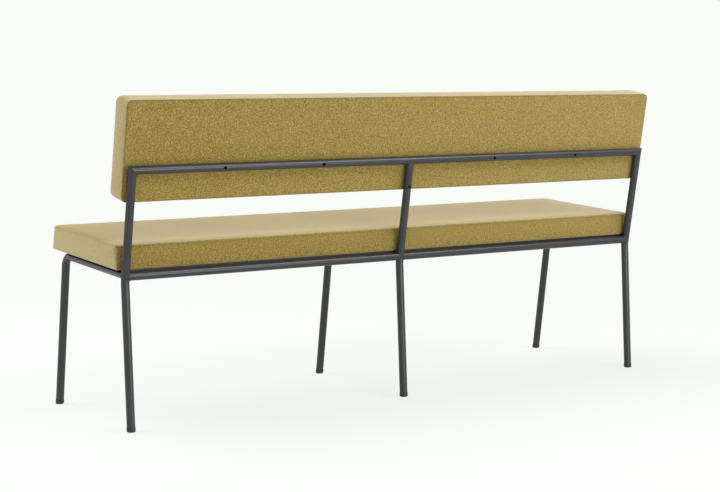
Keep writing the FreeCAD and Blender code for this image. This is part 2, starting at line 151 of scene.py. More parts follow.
class Shader:
    """One material with a principled shader, filled in by its finish."""

    def __init__(self, name: str) -> None:
        """Starts an empty material.

        Args:
            name: Name of the material.
        """
        self.material = bpy.data.materials.new(name)
        self.material.use_nodes = True
        self.tree = self.material.node_tree
        self.principled = self.tree.nodes["Principled BSDF"]

    @classmethod
    def of_tree(cls, tree: bpy.types.NodeTree) -> Shader:
        """Wraps a node tree that is already there.

        Args:
            tree: Node tree of a world.

        Returns:
            A shader that adds its nodes to the tree.
        """
        shader = cls.__new__(cls)
        shader.tree = tree
        return shader

    def node(self, kind: str, settings: Optional[dict[str, Any]] = None,
             inputs: Optional[dict[Union[str, int], Any]] = None, output: Union[str, int] = 0) -> Sock:
        """Adds any node.

        Args:
            kind: Blender's type name of the node.
            settings: Properties that are set before the sockets.
            inputs: Values or links of its sockets, by name or number.
            output: Which output is returned.

        Returns:
            The chosen output socket.
        """
        made = self.tree.nodes.new(kind)
        for key, value in (settings or {}).items():
            setattr(made, key, value)
        for key, value in (inputs or {}).items():
            self.join(made.inputs[key], value)
        return Sock(self, made.outputs[output])

    def join(self, socket: bpy.types.NodeSocket, value: Any) -> None:
        """Links a socket to another, or sets its value.

        Args:
            socket: Input to fill.
            value: Output to link to it, or its plain value.
        """
        if isinstance(value, Sock):
            self.tree.links.new(value.socket, socket)
        else:
            socket.default_value = value

    def place(self, stretch: Triple = (1.0, 1.0, 1.0)) -> Sock:
        """Object coordinates in metres, stretched along the axes."""
        coords = self.node("ShaderNodeTexCoord", output="Object")
        return self.node("ShaderNodeMapping", {"vector_type": "TEXTURE"},
                         {"Vector": coords, "Scale": stretch})

    def noise(self, size: float, detail: float = 2.0, stretch: Triple = (1.0, 1.0, 1.0)) -> Sock:
        """Cloudy noise from 0 to 1 whose patches are about size metres across."""
        return self.node("ShaderNodeTexNoise", None,
                         {"Vector": self.place(stretch), "Scale": 1.0 / size, "Detail": detail})

    def blend(self, share: Operand, first: Any, second: Any) -> Sock:
        """Mix of two colours."""
        return self.node("ShaderNodeMix", {"data_type": "RGBA"}, {0: share, 6: first, 7: second}, 2)

    def bump(self, height: Sock, depth: float, strength: float = 1.0) -> Sock:
        """Normal of a surface raised by a height from 0 to 1 times depth metres."""
        return self.node("ShaderNodeBump", None,
                         {"Height": height, "Distance": depth, "Strength": strength})

    def surface(self, **sockets: Any) -> bpy.types.Material:
        """Sets the principled shader's sockets.

        Args:
            sockets: Values or links, with the words of each socket's name joined by underscores.

        Returns:
            The finished material.
        """
        names = {name.lower().replace(" ", "_"): name for name in self.principled.inputs.keys()}
        for key, value in sockets.items():
            self.join(self.principled.inputs[names[key]], value)
        return self.material


def rgba(colour: Colour) -> tuple[float, float, float, float]:
    """Colour with full opacity."""
    return (*colour, 1.0)


@dataclass(frozen=True)
class PowderCoat:
    """Graphite powder coat on the tubes: satin, with a fine orange-peel skin."""

    colour: Colour = (0.018, 0.019, 0.021)
    worn: Colour = (0.026, 0.027, 0.029)
    roughness: float = 0.33
    cloud_size: float = 0.06
    peel_size: float = 0.0011
    speck_size: float = 0.0005
    peel_depth: float = 0.00003
    peel_share: float = 0.7
    peel_strength: float = 0.6
    worn_range: Span = (0.35, 0.75)
    cloud_rough: float = 0.10
    speck_rough: float = 0.06

    def material(self) -> bpy.types.Material:
        """Builds the material.

        Returns:
            The finished material.
        """
        shader = Shader("graphite_powder_coat")
        cloud = shader.noise(self.cloud_size, 3.0)
        peel = shader.noise(self.peel_size, 1.0)
        speck = shader.noise(self.speck_size, 1.0)
        colour = shader.blend(cloud.above(*self.worn_range), rgba(self.colour), rgba(self.worn))
        rough = self.roughness + (cloud - 0.5) * self.cloud_rough + (speck - 0.5) * self.speck_rough
        skin = peel * self.peel_share + speck * (1 - self.peel_share)
        normal = shader.bump(skin, self.peel_depth, self.peel_strength)
        return shader.surface(base_color=colour, roughness=rough, normal=normal)


@dataclass(frozen=True)
class MouldedPlastic:
    """Black moulded plastic of the feet, finely grained and scuffed near the floor."""

    colour: Colour = (0.012, 0.012, 0.013)
    scuffed: Colour = (0.035, 0.034, 0.033)
    scuff_height: float = 0.006
    scuff_size: float = 0.004
    grain_size: float = 0.0006
    grain_depth: float = 0.00008
    grain_strength: float = 0.7
    scuff_range: Span = (0.45, 0.7)
    roughness: float = 0.46
    scuff_rough: float = 0.2

    def material(self) -> bpy.types.Material:
        """Builds the material.

        Returns:
            The finished material.
        """
        shader = Shader("black_moulded_plastic")
        grain = shader.noise(self.grain_size, 2.0)
        cloud = shader.noise(self.scuff_size, 3.0)
        height = shader.node("ShaderNodeSeparateXYZ", None, {"Vector": shader.place()}, "Z")
        scuff = (1.0 - height.above(0.0, self.scuff_height)) * cloud.above(*self.scuff_range)
        colour = shader.blend(scuff, rgba(self.colour), rgba(self.scuffed))
        rough = self.roughness + scuff * self.scuff_rough
        normal = shader.bump(grain, self.grain_depth, self.grain_strength)
        return shader.surface(base_color=colour, roughness=rough, normal=normal)


@dataclass(frozen=True)
class FeltedWool:
    """Mustard wool cloth, felted and mottled: dark and light fibres under a pale nap, with painted shade
    darkening the seams.
    """

    dark: Colour = (0.108, 0.072, 0.009)
    middle: Colour = (0.229, 0.157, 0.020)
    light: Colour = (0.414, 0.302, 0.064)
    # Colour of the painted shade in the seams.
    seam: Colour = (0.110, 0.076, 0.014)
    sheen_tint: Colour = (1.0, 0.90, 0.65)
    sheen: float = 0.95
    sheen_roughness: float = 0.55
    roughness: float = 0.93
    gloss: float = 0.1
    patch_size: float = 0.0036
    mottle_size: float = 0.0018
    fibre_size: float = 0.0007
    fibre_stretch: float = 3.5
    tone_shares: Triple = (0.50, 0.34, 0.16)
    middle_range: Span = (0.35, 0.51)
    light_range: Span = (0.49, 0.65)
    nap_depth: float = 0.0009
    nap_shares: Span = (0.45, 0.55)
    nap_strength: float = 0.75
    fibre_smooth: float = 0.08
    seam_shadow_share: float = 0.6

    def material(self) -> bpy.types.Material:
        """Builds the material.

        Returns:
            The finished material.
        """
        shader = Shader("mustard_felted_wool")
        patch = shader.noise(self.patch_size, 2.0)
        mottle = shader.noise(self.mottle_size, 3.0)
        fibre_x = shader.noise(self.fibre_size, 2.0, (self.fibre_stretch, 1.0, 1.0))
        fibre_z = shader.noise(self.fibre_size, 2.0, (1.0, 1.0, self.fibre_stretch))
        fibre = (fibre_x + fibre_z) * 0.5
        patches, mottles, fibres = self.tone_shares
        tone = patch * patches + mottle * mottles + fibre * fibres
        deep = shader.blend(tone.above(*self.middle_range), rgba(self.dark), rgba(self.middle))
        felt = shader.blend(tone.above(*self.light_range), deep, rgba(self.light))
        # Painted shade: the seams are darkened towards the seam colour, beyond the shade of their drawn-in
        # grooves.
        seam_shadow_mask = shader.node("ShaderNodeAttribute", {"attribute_name": SEAM_SHADE}, None, "Fac")
        colour = shader.blend(seam_shadow_mask * self.seam_shadow_share, felt, rgba(self.seam))
        nap = mottle * self.nap_shares[0] + fibre * self.nap_shares[1]
        normal = shader.bump(nap, self.nap_depth, self.nap_strength)
        rough = self.roughness - fibre * self.fibre_smooth
        return shader.surface(base_color=colour, roughness=rough, normal=normal,
                              sheen_weight=self.sheen, sheen_roughness=self.sheen_roughness,
                              sheen_tint=rgba(self.sheen_tint), specular_ior_level=self.gloss)


@dataclass(frozen=True)
class BirchPly:
    """Raw birch plywood: pale, with long grain along the board."""

    pale: Colour = (0.62, 0.46, 0.29)
    grain: Colour = (0.46, 0.31, 0.17)
    streak_size: float = 0.004
    streak_stretch: Triple = (25.0, 1.0, 1.0)
    streak_share: float = 0.7
    fleck_size: float = 0.0009
    fleck_stretch: Triple = (8.0, 1.0, 1.0)
    grain_range: Span = (0.35, 0.7)
    grain_depth: float = 0.0002
    roughness: float = 0.7
    fleck_rough: float = 0.15

    def material(self) -> bpy.types.Material:
        """Builds the material.

        Returns:
            The finished material.
        """
        shader = Shader("birch_plywood")
        streak = shader.noise(self.streak_size, 4.0, self.streak_stretch)
        fleck = shader.noise(self.fleck_size, 2.0, self.fleck_stretch)
        tone = streak * self.streak_share + fleck * (1 - self.streak_share)
        colour = shader.blend(tone.above(*self.grain_range), rgba(self.pale), rgba(self.grain))
        return shader.surface(base_color=colour, roughness=self.roughness + fleck * self.fleck_rough,
                              normal=shader.bump(fleck, self.grain_depth))


@dataclass(frozen=True)
class SpunCloth:
    """Thin black non-woven cloth with a fine pressed grid of dots."""

    colour: Colour = (0.016, 0.016, 0.017)
    fibre: Colour = (0.045, 0.045, 0.047)
    fibre_size: float = 0.0011
    fibre_stretch: Triple = (4.0, 1.0, 1.0)
    fibre_range: Span = (0.4, 0.75)
    dots_per_metre: float = 420.0
    dot_jitter: float = 0.15
    dot_range: Span = (0.15, 0.45)
    dot_depth: float = 0.0003
    dot_share: float = 0.6
    dot_strength: float = 0.8
    dot_smooth: float = 0.1
    roughness: float = 0.85
    sheen: float = 0.15

    def material(self) -> bpy.types.Material:
        """Builds the material.

        Returns:
            The finished material.
        """
        shader = Shader("black_spun_cloth")
        fibre = shader.noise(self.fibre_size, 4.0, self.fibre_stretch)
        dots = shader.node("ShaderNodeTexVoronoi", {"feature": "F1", "distance": "CHEBYCHEV"},
                           {"Vector": shader.place(), "Scale": self.dots_per_metre,
                            "Randomness": self.dot_jitter})
        pressed = dots.above(*self.dot_range)
        colour = shader.blend(fibre.above(*self.fibre_range), rgba(self.colour), rgba(self.fibre))
        relief = pressed * self.dot_share + fibre * (1 - self.dot_share)
        normal = shader.bump(relief, self.dot_depth, self.dot_strength)
        rough = self.roughness - pressed * self.dot_smooth
        return shader.surface(base_color=colour, roughness=rough, normal=normal, sheen_weight=self.sheen)


@dataclass(frozen=True)
class PaintedShadowBlack:
    """Dull black cloth with a fine weave, for the black strips that paint the shadow under the seat's ends.
    """

    colour: Colour = (0.004, 0.004, 0.004)
    thread: Colour = (0.008, 0.008, 0.008)
    weave_size: float = 0.0006
    weave_stretch: Triple = (1.0, 4.0, 1.0)
    weave_depth: float = 0.0001
    thread_range: Span = (0.4, 0.7)
    roughness: float = 0.97
    weave_smooth: float = 0.05
    gloss: float = 0.06

    def material(self) -> bpy.types.Material:
        """Builds the material.

        Returns:
            The finished material.
        """
        shader = Shader("painted_shadow_black")
        # Painted shadow: a near-black finish standing in for the shade under the seat's overhang.
        weave = shader.noise(self.weave_size, 2.0, self.weave_stretch)
        colour = shader.blend(weave.above(*self.thread_range), rgba(self.colour), rgba(self.thread))
        return shader.surface(base_color=colour, roughness=self.roughness - weave * self.weave_smooth,
                              normal=shader.bump(weave, self.weave_depth), specular_ior_level=self.gloss)


@dataclass(frozen=True)
class ZincPlate:
    """Zinc-plated steel of screws and staples."""

    colour: Colour = (0.62, 0.62, 0.64)
    dulled: Colour = (0.44, 0.43, 0.41)
    cloud_size: float = 0.0015
    cloud_depth: float = 0.00004
    dull_range: Span = (0.4, 0.7)
    roughness: float = 0.3
    cloud_rough: float = 0.2

    def material(self) -> bpy.types.Material:
        """Builds the material.

        Returns:
            The finished material.
        """
        shader = Shader("zinc_plated_steel")
        cloud = shader.noise(self.cloud_size, 3.0)
        colour = shader.blend(cloud.above(*self.dull_range), rgba(self.colour), rgba(self.dulled))
        rough = self.roughness + cloud * self.cloud_rough
        return shader.surface(base_color=colour, roughness=rough, metallic=1.0,
                              normal=shader.bump(cloud, self.cloud_depth))


def mesh_piece(name: str, points: Array, faces: Array, material: bpy.types.Material) -> bpy.types.Object:
    """Makes a smooth mesh piece that rides on the bench.

    Args:
        name: Name of the piece.
        points: Vertices in the shared frame, one row each.
        faces: Quads as rows of vertex numbers.
        material: Its finish.

    Returns:
        The new object.
    """
    mesh = bpy.data.meshes.new(name)
    mesh.from_pydata(points.tolist(), [], faces.tolist())
    mesh.polygons.foreach_set("use_smooth", np.ones(len(mesh.polygons), dtype=bool))
    mesh.materials.append(material)
    mesh.update()
    piece = bpy.data.objects.new(name, mesh)
    bpy.context.scene.collection.objects.link(piece)
    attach(piece, BODY)
    LOG.info("%s: %d points, %d faces", name, len(points), len(faces))
    return piece


def grid_faces(index: Array, flip: bool = False) -> Array:
    """Quads between neighbours of a grid.

    Args:
        index: Vertex numbers in rows and columns.
        flip: Whether the quads are turned over.

    Returns:
        Quads as rows of vertex numbers.
    """
    corners_of = [index[:-1, :-1], index[1:, :-1], index[1:, 1:], index[:-1, 1:]]
    quads = np.stack(corners_of, axis=-1).reshape(-1, 4)
    return quads[:, ::-1] if flip else quads


@dataclass(frozen=True)
class PadPlane:
    """Directions of one pad: along the bench, across the pad, and out of its padded face."""

    across: Array
    out: Array

    @classmethod
    def seat(cls) -> PadPlane:
        """The seat: across runs to the rear, out is up."""
        sine, cosine = math.sin(SEAT_PITCH), math.cos(SEAT_PITCH)
        return cls(np.array([0.0, cosine, -sine]), np.array([0.0, sine, cosine]))

    @classmethod
    def back(cls) -> PadPlane:
        """The back: across runs up, out is to the front."""
        sine, cosine = math.sin(BACK_RECLINE), math.cos(BACK_RECLINE)
        return cls(np.array([0.0, sine, cosine]), np.array([0.0, -cosine, sine]))

    @property
    def turn(self) -> Array:
        """Rows are the pad's three directions."""
        return np.stack([np.array([1.0, 0.0, 0.0]), self.across, self.out])

    def box(self, node: bpy.types.Object) -> tuple[Array, Array]:
        """Box of a node, measured along the pad's directions.

        Args:
            node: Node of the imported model.

        Returns:
            Lowest and highest corner.
        """
        flat = np.empty(3 * len(node.data.vertices))
        node.data.vertices.foreach_get("co", flat)
        local = flat.reshape(-1, 3) @ self.turn.T
        return local.min(axis=0), local.max(axis=0)


def graded_lines(size: float, offsets: Array, spacing: float) -> Array:
    """Grid lines across a size: at fixed offsets from both ends, and evenly spaced between them.

    Args:
        size: Length that the lines span, centred on zero.
        offsets: Rising distances from each end.
        spacing: Widest step in the middle.

    Returns:
        Rising positions of the lines.
    """
    half = size / 2
    inner = half - offsets[-1]
    count = max(2, math.ceil(2 * inner / spacing) + 1)
    even = np.linspace(-inner, inner, count)
    return np.concatenate([offsets[:-1] - half, even, half - offsets[-2::-1]])


def box_skin(xs: Array, ys: Array, zs: Array) -> tuple[Array, Array]:
    """Skin of a lattice: the points on its six sides, numbered once, and outward quads between them.

    Args:
        xs: Lines along the length.
        ys: Lines across.
        zs: Lines up.

    Returns:
        Points and quads.
    """
    shape = (len(xs), len(ys), len(zs))
    skin = np.ones(shape, dtype=bool)
    skin[1:-1, 1:-1, 1:-1] = False
    index = np.full(shape, -1)
    index[skin] = np.arange(np.count_nonzero(skin))
    points = np.stack(np.meshgrid(xs, ys, zs, indexing="ij"), axis=-1)[skin]
    sides = [grid_faces(index[:, :, 0], True), grid_faces(index[:, :, -1]),
             grid_faces(index[:, 0, :]), grid_faces(index[:, -1, :], True),
             grid_faces(index[0, :, :], True), grid_faces(index[-1, :, :])]
    return points, np.concatenate(sides)


def round_corners(plan: Array, half: Array, corner: Array) -> Array:
    """Draws the four corner squares of a rectangle in to quarter discs.

    A point keeps its direction from the disc's centre, and its larger offset becomes its distance.

    Args:
        plan: Points in plan.
        half: Half of the rectangle's two sides.
        corner: Corner radius at each point.

    Returns:
        The moved points.
    """
    core = half - corner[:, None]
    past = np.abs(plan) - core
    in_corner = (past > 0).all(axis=1)
    shrink = past.max(axis=1) / np.linalg.norm(np.maximum(past, TINY), axis=1)
    drawn = np.sign(plan) * (core + past * shrink[:, None])
    return np.where(in_corner[:, None], drawn, plan)


@dataclass
class PadForm:
    """Closed soft box: flat base, rounded edges and corners, sides that swell and a crowned face.

    The base lies at height 0 and the face at the full height. Lengths are in metres.
    """

    length: float
    width: float
    height: float
    base_edge: float
    face_edge: float
    base_corner: float
    face_corner: float
    belly: float
    crown: float
    shoulder: float
    spacing: float
    seam: float
    lattice: Array = field(init=False)
    faces: Array = field(init=False)

    def __post_init__(self) -> None:
        """Lays out the lattice of points on the plain box, with its lines close together at the edges."""
        rim = np.array([0.0, FIRST_LINE, self.seam - SEAM_GAP, self.seam, self.seam + SEAM_GAP, *RIM_LINES])
        plan_x = graded_lines(self.length, rim, self.spacing)
        plan_y = graded_lines(self.width, rim, self.spacing)
        steps = np.tan(np.radians(EDGE_ANGLES))
        low = self.base_edge * (1 - steps[::-1])
        high = self.height - self.face_edge * (1 - steps)
        close = high[0] - SEAM_STEP
        middle = np.linspace(low[-1], close - SEAM_STEP, SIDE_LINES)
        rows = np.concatenate([low[:-1], middle, [close], high])
        self.lattice, self.faces = box_skin(plan_x, plan_y, rows)

    @property
    def half(self) -> Array:
        """Half of the length and the width."""
        return np.array([self.length, self.width]) / 2

    def plan_inset(self, plan: Array, corner: Array) -> tuple[Array, Array]:
        """How far points lie inside the rounded plan, and which way is out.

        Args:
            plan: Points in plan.
            corner: Corner radius at each point.

        Returns:
            Inset and outward unit direction. In a corner they are measured from the corner's centre,
            elsewhere from the nearest straight side.
        """
        past = np.abs(plan) - (self.half - corner[:, None])
        reach = np.linalg.norm(np.maximum(past, TINY), axis=1)
        in_corner = (past > 0).all(axis=1)
        straight = np.eye(2)[np.argmax(past, axis=1)]
        inset = np.where(in_corner, corner - reach, corner - past.max(axis=1))
        outward = np.where(in_corner[:, None], past / reach[:, None], straight)
        return np.maximum(inset, 0.0), outward * np.where(plan < 0, -1.0, 1.0)

    def points(self) -> Array:
        """Pad surface over the lattice.

        In plan, each corner square is drawn in to a quarter disc. Along the base and the face, each edge
        square is drawn in to a quarter round in the same way. With t the share of the height and d the
        distance from the nearest side, the sides then swell by belly * 4 t (1 - t), less and less over the
        width of the face's edge, and a point rises by crown * t^6 * (1 - exp(-d / shoulder)), so that the
        face is fullest in the middle and falls away to its edges.

        Returns:
            Points in the pad's own directions, centred in plan.
        """
        height = self.lattice[:, 2]
        share = height / self.height
        corner = self.base_corner + (self.face_corner - self.base_corner) * share
        plan = round_corners(self.lattice[:, :2], self.half, corner)
        inset, outward = self.plan_inset(plan, corner)
        move = np.zeros_like(height)
        rise = height.copy()
        edges = ((self.base_edge, height, 1.0), (self.face_edge, self.height - height, -1.0))
        for radius, depth, sign in edges:
            near = (inset < radius) & (depth < radius)
            side, level = radius - inset, radius - depth
            scale = np.maximum(side, level) / np.maximum(np.hypot(side, level), TINY)
            move = np.where(near, inset - (radius - side * scale), move)
            rise = np.where(near, rise + sign * (radius - level * scale - depth), rise)
        swell = self.belly * 4 * share * (1 - share) * np.clip(1 - inset / self.face_edge, 0, 1)
        plan = plan + outward * (move + swell)[:, None]
        rise = rise + self.crown * share ** 6 * (1 - np.exp(-inset / self.shoulder))
        return np.column_stack([plan, rise])

    def from_panel_seam(self) -> Array:
        """Distance of each point from the seam line on the base panel, large away from the base."""
        inset = (self.half - np.abs(self.lattice[:, :2])).min(axis=1)
        return np.where(self.lattice[:, 2] < TINY, np.abs(inset - self.seam), 1.0)

    def from_edge_seam(self) -> Array:
        """Distance from the seam round the sides, just below the face's rounded edge.

        Returns:
            Distance of each point, large away from the sides.
        """
        inset = (self.half - np.abs(self.lattice[:, :2])).min(axis=1)
        below = np.abs(self.height - self.face_edge - self.lattice[:, 2])
        return np.where(inset < TINY, below, 1.0)

    def side_normal(self) -> Array:
        """Direction out of the nearest side, with no rise.

        Returns:
            Unit direction at each point.
        """
        corner = np.full(len(self.lattice), self.face_corner)
        outward = self.plan_inset(round_corners(self.lattice[:, :2], self.half, corner), corner)[1]
        return np.column_stack([outward, np.zeros(len(outward))])


@dataclass
class Pad:
    """One upholstered pad, blown up by a cloth simulation and drawn in along its seams."""

    name: str
    plane: PadPlane
    covers: tuple[str, ...]
    base_corner: float
    face_corner: float
    panel_seam_depth: float
    edge_seam_depth: float
    base_edge: float = 0.0022
    face_edge: float = 0.005
    seam: float = 0.0023
    seam_width: float = 0.0014
    # Strength of the painted shade along the edge seam.
    edge_shade: float = 0.8
    spacing: float = 0.013
    belly: float = 0.0004
    crown: float = 0.0006
    shoulder: float = 0.035
    proud: float = 0.0018
    swell: float = 0.0008
    fill: float = 0.95
    pressure: float = 0.3
    frames: int = 20

    def build(self, nodes: dict[str, bpy.types.Object], material: bpy.types.Material) -> bpy.types.Object:
        """Makes the pad in the place of its cover's solid.

        Args:
            nodes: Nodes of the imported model.
            material: Cloth of the pad.

        Returns:
            The finished pad.
        """
        low, high = self.plane.box(nodes[self.covers[0]])
        low[:2] -= self.proud
        high[:2] += self.proud
        size = high - low
        form = PadForm(size[0] - 2 * self.swell, size[1] - 2 * self.swell, size[2] - self.swell,
                       self.base_edge, self.face_edge, self.base_corner, self.face_corner, self.belly,
                       self.crown, self.shoulder, self.spacing, self.seam)
        middle = (low + high) / 2
        middle[2] = low[2]
        points = (form.points() + middle) @ self.plane.turn
        piece = mesh_piece(self.name, points, form.faces, material)
        self.inflate(piece, form.lattice[:, 2] < TINY)
        self.fit(piece, low, high)
        self.sew(piece, form)
        smooth = piece.modifiers.new("smooth", "SUBSURF")
        smooth.levels = smooth.render_levels = 1
        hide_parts(*self.covers)
        return piece

    def inflate(self, piece: bpy.types.Object, held: Array) -> None:
        """Blows the pad up a little as cloth, with its base held, and keeps the result in its mesh.

        A point that the cloth moves by d is moved by s * tanh(d / s) instead, with s the pad's swell.

        Args:
            piece: Pad to blow up.
            held: Which points stay where they are.
        """
        group = piece.vertex_groups.new(name="held")
        group.add(np.flatnonzero(held).tolist(), 1.0, "REPLACE")
        cloth = piece.modifiers.new("cloth", "CLOTH")
        cloth.settings.vertex_group_mass = group.name
        cloth.settings.use_pressure = True
        cloth.settings.uniform_pressure_force = self.pressure
        cloth.settings.effector_weights.gravity = 0.0
        cloth.point_cache.frame_start = 1
        cloth.point_cache.frame_end = self.frames
        scene = bpy.context.scene
        for frame in range(1, self.frames + 1):
            scene.frame_set(frame)
        before = read_points(piece.data)
        after = read_points(piece.evaluated_get(bpy.context.evaluated_depsgraph_get()).data)
        shift = after - before
        far = np.linalg.norm(shift, axis=1, keepdims=True)
        LOG.info("%s: cloth moved %.4f m at most, %.4f m on average", piece.name, far.max(), far.mean())
        capped = before + shift * self.swell * np.tanh(far / self.swell) / np.maximum(far, TINY)
        piece.modifiers.remove(cloth)
        piece.vertex_groups.remove(group)
        scene.frame_set(1)
        write_points(piece.data, capped)

    def fit(self, piece: bpy.types.Object, low: Array, high: Array) -> None:
        """Scales the pad along its own directions until it fills its box.

        Args:
            piece: Pad to scale.
            low: Lowest corner of the box.
            high: Highest corner of the box.
        """
        local = read_points(piece.data) @ self.plane.turn.T
        least, most = local.min(axis=0), local.max(axis=0)
        local = low + (local - least) * (high - low) / (most - least)
        write_points(piece.data, local @ self.plane.turn)

    def sew(self, piece: bpy.types.Object, form: PadForm) -> None:
        """Draws the seam lines into the pad, and marks them for the painted shade that darkens the cloth's
        colour there.

        The painted shade falls off as exp(-(d / w)^2), with d the distance from the seam and w the seam's
        width.

        Args:
            piece: Pad to sew.
            form: Its form, which knows the distances from the seams.
        """
        panel, edge = form.from_panel_seam(), form.from_edge_seam()
        pull = np.outer((panel < ON_LINE) * self.panel_seam_depth, (0.0, 0.0, 1.0))
        pull -= form.side_normal() * ((edge < ON_LINE) * self.edge_seam_depth)[:, None]
        write_points(piece.data, read_points(piece.data) + pull @ self.plane.turn)
        # Painted shade: how far the cloth's colour is darkened towards the seam colour, for the seams'
        # shadow.
        panel_shade = (self.panel_seam_depth > 0) * np.exp(-(panel / self.seam_width) ** 2)
        edge_shade = (self.edge_seam_depth > 0) * np.exp(-(edge / self.seam_width) ** 2)
        shade = np.maximum(panel_shade, self.edge_shade * edge_shade)
        marks = piece.data.attributes.new(SEAM_SHADE, "FLOAT", "POINT")
        marks.data.foreach_set("value", shade.astype(np.float32))


def read_points(mesh: bpy.types.Mesh) -> Array:
    """Vertices of a mesh.

    Args:
        mesh: Mesh to read.

    Returns:
        Points, one row each.
    """
    flat = np.empty(3 * len(mesh.vertices))
    mesh.vertices.foreach_get("co", flat)
    return flat.reshape(-1, 3)


def write_points(mesh: bpy.types.Mesh, points: Array) -> None:
    """Puts vertices back into a mesh."""
    mesh.vertices.foreach_set("co", points.ravel())
    mesh.update()


@dataclass
class DustCover:
    """Black cloth stapled under the seat: flat where the rails press it, sagging a little between them."""

    sag: float = 0.0016
    fold: float = 0.0003
    fold_rate: float = 95.0
    fold_drift: float = 1.3
    drift_rate: float = 21.0
    step: float = 0.012
    corner: float = 0.008
    staple_gap: float = 0.046
    staple_inset: float = 0.006
    rail_margin: float = 0.02
    crown_length: float = 0.011
    leg_length: float = 0.003
    crown_share: float = 0.9
    bend: float = 0.0006
    tilt: float = 0.3
    wire: float = 0.0005
    wire_sides: int = 6
    wire_sunk: float = 0.5

    def build(self, node: bpy.types.Object, cloth: bpy.types.Material, zinc: bpy.types.Material) -> None:
        """Makes the sheet in the place of its solid, and its staples.

        Args:
            node: Solid of the sheet.
            cloth: Finish of the sheet.
            zinc: Finish of the staples.
        """
        plane = PadPlane.seat()
        low, high = plane.box(node)
        size = high - low
        half = size[:2] / 2
        middle = (low + high) / 2
        middle[2] = low[2]
        xs = np.linspace(-half[0], half[0], math.ceil(size[0] / self.step) + 1)
        ys = np.linspace(-half[1], half[1], math.ceil(size[1] / self.step) + 1)
        lattice, faces = box_skin(xs, ys, np.array([0.0, size[2]]))
        plan = round_corners(lattice[:, :2], half, np.full(len(lattice), self.corner))
        points = np.column_stack([plan, lattice[:, 2] - self.droop(plan, half)]) + middle
        sheet = mesh_piece("dust_cover", points @ plane.turn, faces, cloth)
        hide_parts(node.name)
        self.staples(half, middle, plane, zinc)

    def droop(self, plan: Array, half: Array) -> Array:
        """How far the cloth hangs.

        The sag, with the sine of the place along the sheet for its folds, is multiplied by a bow across the
        sheet and by the square of a sine along each bay between two rails.

        Args:
            plan: Points of the sheet in plan.
            half: Half of its sides.

        Returns:
            Depth below the flat sheet at each point.
        """
        bow = np.clip(1 - (plan[:, 1] / half[1]) ** 2, 0, 1)
        bay = np.sin(np.pi * np.clip(np.abs(plan[:, 0]) / POST_SPACING, 0, 1)) ** 2
        drift = self.fold_drift * np.sin(plan[:, 1] * self.drift_rate)
        folds = np.sin(plan[:, 0] * self.fold_rate + drift) * self.fold
        return bow * bay * (self.sag + folds)

    def staples(self, half: Array, middle: Array, plane: PadPlane, zinc: bpy.types.Material) -> None:
        """Row of staples along both long edges, none of them under a rail.

        Each is a round wire carried along a path of two legs and a crown.

        Args:
            half: Half of the sheet's sides.
            middle: Middle of the sheet's lower face.
            plane: The seat's directions.
            zinc: Finish of the staples.
        """
        reach = self.crown_length / 2
        flat = reach * self.crown_share
        tilt = self.tilt
        path = np.array([(-reach, 0, self.leg_length), (-reach, 0, self.bend), (-flat, 0, 0),
                         (flat, 0, 0), (reach, 0, self.bend), (reach, 0, self.leg_length)])
        across = np.array([(1, 0, 0), (1, 0, tilt), (tilt, 0, 1), (-tilt, 0, 1), (-1, 0, tilt), (-1, 0, 0)])
        across = across / np.linalg.norm(across, axis=1, keepdims=True)
        turn = np.arange(self.wire_sides) * 2 * np.pi / self.wire_sides
        ring = np.cos(turn)[:, None, None] * across + np.sin(turn)[:, None, None] * np.array([0.0, 1.0, 0.0])
        one = (path + self.wire * ring).transpose(1, 0, 2).reshape(-1, 3)
        count = round(2 * POST_SPACING / self.staple_gap)
        along = (np.arange(count) + 0.5) / count * 2 * POST_SPACING - POST_SPACING
        from_centre = np.abs(along)
        along = along[(from_centre > self.rail_margin) & (from_centre < POST_SPACING - self.rail_margin)]
        edge = half[1] - self.staple_inset
        places = np.array([(x, y, -self.wire * self.wire_sunk) for y in (-edge, edge) for x in along])
        points = (places[:, None, :] + one).reshape(-1, 3) + middle
        faces = tube_faces(len(path), self.wire_sides)
        faces = (np.arange(len(places))[:, None, None] * len(one) + faces).reshape(-1, 4)
        mesh_piece("dust_cover_staples", points @ plane.turn, faces, zinc)


@dataclass
class PaintedShadowStrips:
    """Black strips of painted shadow under both ends of the seat, over the outer shoulders of the side rails,
    where the seat's overhang shades them.

    They lie between near and far from the rails' axes, and reach down past the rails' top by drop.
    """

    near: float = 0.0102
    far: float = 0.0120
    drop: float = 0.0062
    clearance: float = 0.0003
    front_inset: float = 0.085
    rear_inset: float = 0.004
    edge: float = 0.0004
    softness: float = 0.3

    def build(self, seat: bpy.types.Object, rail: bpy.types.Object, shadow_finish: bpy.types.Material) -> None:
        """Makes both strips as one piece.

        Each is a box. A point on one of its edges is drawn in by the edge's width times softness, and a
        point on one of its corners by twice that.

        Args:
            seat: Solid of the seat's cover, which they hang under.
            rail: Front leg with its side rail, whose top they reach past.
            shadow_finish: Black finish of the strips, which paints the shadow.
        """
        plane = PadPlane.seat()
        low, high = plane.box(seat)
        rail_top = plane.box(rail)[1][2]
        least = np.array([POST_SPACING + self.near, low[1] + self.front_inset, rail_top - self.drop])
        most = np.array([POST_SPACING + self.far, high[1] - self.rear_inset, low[2] - self.clearance])
        half = (most - least) / 2
        skin, faces = box_skin(*(np.array([-end, self.edge - end, end - self.edge, end]) for end in half))
        outer = np.abs(skin) > half - TINY
        inward = (outer.sum(axis=1, keepdims=True) - 1) * self.edge * self.softness
        strip = skin - np.sign(skin) * outer * inward + (least + most) / 2
        points = np.concatenate([strip, strip * np.array([-1.0, 1.0, 1.0])])
        faces = np.concatenate([faces, faces[:, ::-1] + len(strip)])
        # Painted shadow: black strips where the seat's overhang shades the rails' tops.
        mesh_piece("seat_painted_shadow_strips", points @ plane.turn, faces, shadow_finish)


